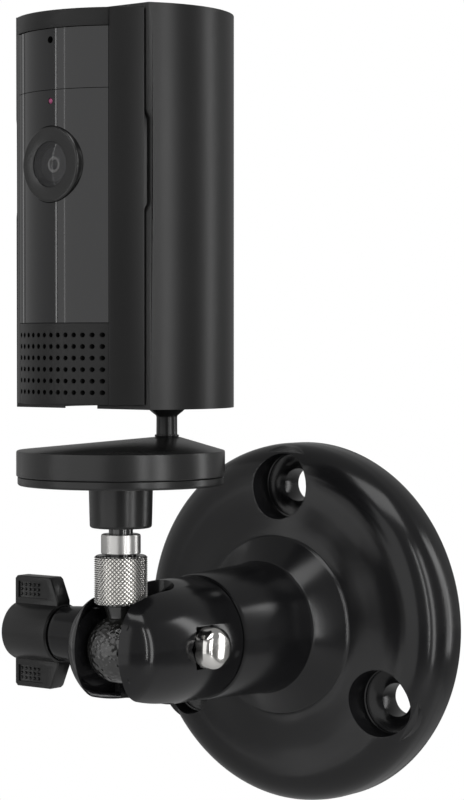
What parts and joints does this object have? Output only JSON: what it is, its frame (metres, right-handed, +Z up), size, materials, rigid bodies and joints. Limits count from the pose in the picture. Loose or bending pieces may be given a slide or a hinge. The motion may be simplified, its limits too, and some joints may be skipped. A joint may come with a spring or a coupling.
{
  "type": "baby monitor camera",
  "caption": "Small upright cylinder camera on a round stand with a ball stem, screwed on a ball-head wall mount with a wing nut and a round screw-on flange",
  "frame": {"origin": "centre of the wall face of the round flange", "axes": "+Y points into the wall, the arm and the lens point along -Y, +Z is up, +X is on the side of the chrome bolt head"},
  "size_m": [0.08, 0.0878, 0.1687],
  "materials": {
    "mount_paint": "satin black paint",
    "black_plastic": "fine satin black",
    "dark_inner": "moulded black",
    "window_gloss": "glossy smoked black",
    "lens_glass": "coated glass",
    "ball_black": "stippled black oxide",
    "steel": "turned steel",
    "knurled_steel": "diamond knurl",
    "chrome": "polished",
    "brass": "turned brass",
    "pcb": "green solder mask",
    "led": "clear tinted"
  },
  "bodies": {
    "wall_bracket": {"wall_flange": "mount_paint", "flange_neck": "mount_paint", "flange_rim": "mount_paint", "flange_posts": "mount_paint"},
    "arm": {"clamp_arm": "mount_paint", "swivel_screw": "steel", "swivel_washer": "steel", "clamp_bolt": "chrome", "wing_spacer": "mount_paint"},
    "wing": {"wing_nut": "black_plastic", "wing_nut_insert": "brass"},
    "stud": {"ball_stud": "ball_black", "stud_collar": "chrome"},
    "lock_nut": {"knurled_lock_nut": "knurled_steel"},
    "stand": {"base_cover": "black_plastic", "base_plate": "black_plastic", "base_weight": "steel", "base_screws": "steel", "adapter_boss": "black_plastic", "adapter_insert": "brass"},
    "stem_post": {"stem": "black_plastic", "stem_clip": "steel"},
    "camera": {"socket_cup": "dark_inner", "socket_ring": "dark_inner", "rear_housing": "black_plastic", "front_frame": "black_plastic", "rear_cover": "black_plastic", "upper_window": "window_gloss", "lower_window": "window_gloss", "speaker_grille": "black_plastic", "lens_bezel": "window_gloss", "lens_glass": "lens_glass", "lens_barrel": "dark_inner", "image_sensor": "window_gloss", "sensor_board": "pcb", "infrared_leds": "led", "status_led": "led", "main_board": "pcb", "board_screws": "steel", "microphone": "steel", "speaker_driver": "dark_inner", "speaker_clamp": "dark_inner", "antenna": "brass", "power_inlet": "steel"}
  },
  "joints": [
    {"name": "arm_roll", "type": "hinge", "parent": "wall_bracket", "child": "arm", "pos_m": [0, -0.042, 0], "axis": [0, 1, 0], "range_deg": [-180, 180]},
    {"name": "wing_spin", "type": "hinge", "parent": "arm", "child": "wing", "pos_m": [-0.032, -0.0545, 0], "axis": [1, 0, 0], "continuous": true},
    {"name": "ball_tilt", "type": "hinge", "parent": "arm", "child": "stud", "pos_m": [0, -0.0666, 0], "axis": [1, 0, 0], "range_deg": [-20, 180]},
    {"name": "lock_nut_spin", "type": "hinge", "parent": "stud", "child": "lock_nut", "pos_m": [0, -0.0666, 0.014], "axis": [0, 0, 1], "continuous": true},
    {"name": "base_pan", "type": "hinge", "parent": "stud", "child": "stand", "pos_m": [0, -0.0666, 0.029], "axis": [0, 0, 1], "range_deg": [-180, 180]},
    {"name": "stem_pan", "type": "hinge", "parent": "stand", "child": "stem_post", "pos_m": [0, -0.05175, 0.04274], "axis": [0, 0, 1], "range_deg": [-45, 45]},
    {"name": "camera_tilt", "type": "hinge", "parent": "stem_post", "child": "camera", "pos_m": [0, -0.05175, 0.05184], "axis": [0.9994, -0.0349, 0], "range_deg": [-18, 12]}
  ]
}
